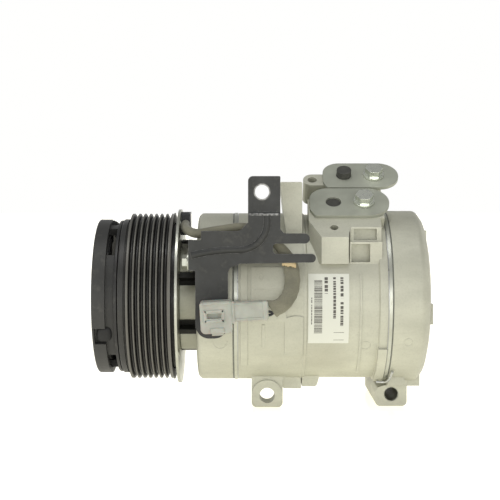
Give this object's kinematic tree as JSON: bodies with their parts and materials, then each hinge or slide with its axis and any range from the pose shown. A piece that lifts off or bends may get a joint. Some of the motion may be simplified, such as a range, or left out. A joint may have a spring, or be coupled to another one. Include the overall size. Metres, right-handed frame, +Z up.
{
  "type": "automotive air-conditioning compressor",
  "caption": "Belt-driven swash-plate air-conditioning compressor with electromagnetic clutch, poly-V pulley, harness bracket and capped refrigerant ports.",
  "frame": {"origin": "on the shaft axis at the middle of the belt track", "axes": "+X along the shaft from the clutch to the rear housing, +Z up, connector side faces -Y"},
  "size_m": [0.2119, 0.1425, 0.1567],
  "materials": {
    "cast_aluminium": "sand-blasted die casting",
    "black_steel": "satin black paint",
    "hub_paint": "dull dark grey paint",
    "bracket_paint": "charcoal electrocoat",
    "zinc_plate": "zinc plated",
    "cap_plate": "grey passivated sheet",
    "ground_steel": "ground and polished",
    "spring_steel": "rolled strip",
    "piston_aluminium": "turned, coated",
    "bearing_steel": "hardened and ground",
    "damper_rubber": "moulded",
    "plug_rubber": "moulded",
    "gasket": "coated sheet",
    "coil_resin": "potted winding",
    "connector_plastic": "natural nylon",
    "sleeve": "olive grey braided sleeve",
    "label_paper": "white film"
  },
  "bodies": {
    "casing": {"pulley_bearing_inner": "bearing_steel", "coil_case": "black_steel", "coil_winding": "coil_resin", "coil_plate": "zinc_plate", "coil_lead_block": "coil_resin", "nose_snap_rings": "spring_steel", "front_housing": "cast_aluminium", "front_gasket": "gasket", "front_discharge_reeds": "spring_steel", "front_valve_plate": "zinc_plate", "front_suction_reeds": "spring_steel", "rear_suction_reeds": "spring_steel", "rear_valve_plate": "zinc_plate", "rear_discharge_reeds": "spring_steel", "rear_gasket": "gasket", "front_cylinder_block": "cast_aluminium", "block_o_ring": "plug_rubber", "rear_cylinder_block": "cast_aluminium", "rear_housing": "cast_aluminium", "through_bolts": "zinc_plate", "label": "label_paper", "shaft_seal": "plug_rubber", "radial_bearing_cups": "bearing_steel", "thrust_races": "bearing_steel", "front_cap_plate": "cap_plate", "rear_cap_plate": "cap_plate", "cap_bolts": "zinc_plate", "port_plugs": "plug_rubber", "relief_valve_body": "zinc_plate", "relief_valve_spring": "spring_steel", "harness_bracket": "bracket_paint", "bracket_bolts": "zinc_plate", "connector": "connector_plastic", "lead_sleeve": "sleeve"},
    "pulley_body": {"pulley": "black_steel", "pulley_bearing_outer": "bearing_steel"},
    "bearing_ball_set": {"pulley_bearing_balls": "bearing_steel"},
    "shaft_body": {"drive_shaft": "ground_steel", "swash_plate": "ground_steel", "clutch_hub": "hub_paint", "hub_dampers": "damper_rubber", "hub_bolt": "zinc_plate", "hub_shims": "ground_steel"},
    "armature_body": {"hub_cup": "hub_paint", "armature_plate": "black_steel", "armature_rivets": "zinc_plate"},
    "needle_set": {"needle_rollers": "bearing_steel"},
    "thrust_set": {"thrust_rollers": "bearing_steel"},
    "relief_poppet": {"relief_valve_poppet": "spring_steel"},
    "front_shoe_set": {"front_shoes": "bearing_steel"},
    "rear_shoe_1_body": {"rear_shoe_1": "bearing_steel"},
    "piston_1_body": {"piston_1": "piston_aluminium"},
    "rear_shoe_2_body": {"rear_shoe_2": "bearing_steel"},
    "piston_2_body": {"piston_2": "piston_aluminium"},
    "rear_shoe_3_body": {"rear_shoe_3": "bearing_steel"},
    "piston_3_body": {"piston_3": "piston_aluminium"},
    "rear_shoe_4_body": {"rear_shoe_4": "bearing_steel"},
    "piston_4_body": {"piston_4": "piston_aluminium"},
    "rear_shoe_5_body": {"rear_shoe_5": "bearing_steel"},
    "piston_5_body": {"piston_5": "piston_aluminium"}
  },
  "joints": [
    {"name": "pulley_spin", "type": "hinge", "parent": "casing", "child": "pulley_body", "pos_m": [0, 0, 0], "axis": [1, 0, 0], "continuous": true},
    {"name": "bearing_balls_roll", "type": "hinge", "parent": "casing", "child": "bearing_ball_set", "pos_m": [0, 0, 0], "axis": [1, 0, 0], "continuous": true},
    {"name": "shaft_spin", "type": "hinge", "parent": "casing", "child": "shaft_body", "pos_m": [0, 0, 0], "axis": [1, 0, 0], "continuous": true},
    {"name": "armature_engage", "type": "slide", "parent": "shaft_body", "child": "armature_body", "axis": [1, 0, 0], "range_m": [0, 0.0005], "stiffness_N_per_m": 20000},
    {"name": "needle_roll", "type": "hinge", "parent": "casing", "child": "needle_set", "pos_m": [0.0725, 0, 0], "axis": [1, 0, 0], "continuous": true},
    {"name": "thrust_roll", "type": "hinge", "parent": "casing", "child": "thrust_set", "pos_m": [0.0875, 0, 0], "axis": [1, 0, 0], "continuous": true},
    {"name": "relief_lift", "type": "slide", "parent": "casing", "child": "relief_poppet", "axis": [0, 1, 0], "range_m": [0, 0.0015], "stiffness_N_per_m": 2000, "deforming": ["relief_valve_spring"]},
    {"name": "front_shoes_turn", "type": "hinge", "parent": "shaft_body", "child": "front_shoe_set", "pos_m": [0.1016, 0, 0], "axis": [0.9604, 0.2785, 0], "continuous": true},
    {"name": "rear_shoe_1_turn", "type": "hinge", "parent": "front_shoe_set", "child": "rear_shoe_1_body", "pos_m": [0.1016, 0, 0.03469], "axis": [0.9604, 0.2785, 0], "continuous": true},
    {"name": "piston_1_drive", "type": "hinge", "parent": "rear_shoe_1_body", "child": "piston_1_body", "pos_m": [0.1016, 0, 0.03469], "axis": [1, 0, 0], "continuous": true},
    {"name": "rear_shoe_2_turn", "type": "hinge", "parent": "front_shoe_set", "child": "rear_shoe_2_body", "pos_m": [0.11079, -0.03168, 0.01072], "axis": [0.9604, 0.2785, 0], "continuous": true},
    {"name": "piston_2_drive", "type": "hinge", "parent": "rear_shoe_2_body", "child": "piston_2_body", "pos_m": [0.11079, -0.03168, 0.01072], "axis": [1, 0, 0], "continuous": true},
    {"name": "rear_shoe_3_turn", "type": "hinge", "parent": "front_shoe_set", "child": "rear_shoe_3_body", "pos_m": [0.10728, -0.01958, -0.02806], "axis": [0.9604, 0.2785, 0], "continuous": true},
    {"name": "piston_3_drive", "type": "hinge", "parent": "rear_shoe_3_body", "child": "piston_3_body", "pos_m": [0.10728, -0.01958, -0.02806], "axis": [1, 0, 0], "continuous": true},
    {"name": "rear_shoe_4_turn", "type": "hinge", "parent": "front_shoe_set", "child": "rear_shoe_4_body", "pos_m": [0.09592, 0.01958, -0.02806], "axis": [0.9604, 0.2785, 0], "continuous": true},
    {"name": "piston_4_drive", "type": "hinge", "parent": "rear_shoe_4_body", "child": "piston_4_body", "pos_m": [0.09592, 0.01958, -0.02806], "axis": [1, 0, 0], "continuous": true},
    {"name": "rear_shoe_5_turn", "type": "hinge", "parent": "front_shoe_set", "child": "rear_shoe_5_body", "pos_m": [0.09241, 0.03168, 0.01072], "axis": [0.9604, 0.2785, 0], "continuous": true},
    {"name": "piston_5_drive", "type": "hinge", "parent": "rear_shoe_5_body", "child": "piston_5_body", "pos_m": [0.09241, 0.03168, 0.01072], "axis": [1, 0, 0], "continuous": true}
  ],
  "couplings": [
    {"joint": "bearing_balls_roll", "follows": "pulley_spin", "ratio": 0.56667},
    {"joint": "needle_roll", "follows": "shaft_spin", "ratio": 0.43095},
    {"joint": "thrust_roll", "follows": "shaft_spin", "ratio": 0.5},
    {"joint": "front_shoes_turn", "follows": "shaft_spin", "ratio": -1},
    {"joint": "rear_shoe_1_turn", "follows": "shaft_spin", "ratio": 1},
    {"joint": "piston_1_drive", "follows": "shaft_spin", "ratio": -1},
    {"joint": "rear_shoe_2_turn", "follows": "shaft_spin", "ratio": 1},
    {"joint": "piston_2_drive", "follows": "shaft_spin", "ratio": -1},
    {"joint": "rear_shoe_3_turn", "follows": "shaft_spin", "ratio": 1},
    {"joint": "piston_3_drive", "follows": "shaft_spin", "ratio": -1},
    {"joint": "rear_shoe_4_turn", "follows": "shaft_spin", "ratio": 1},
    {"joint": "piston_4_drive", "follows": "shaft_spin", "ratio": -1},
    {"joint": "rear_shoe_5_turn", "follows": "shaft_spin", "ratio": 1},
    {"joint": "piston_5_drive", "follows": "shaft_spin", "ratio": -1}
  ]
}
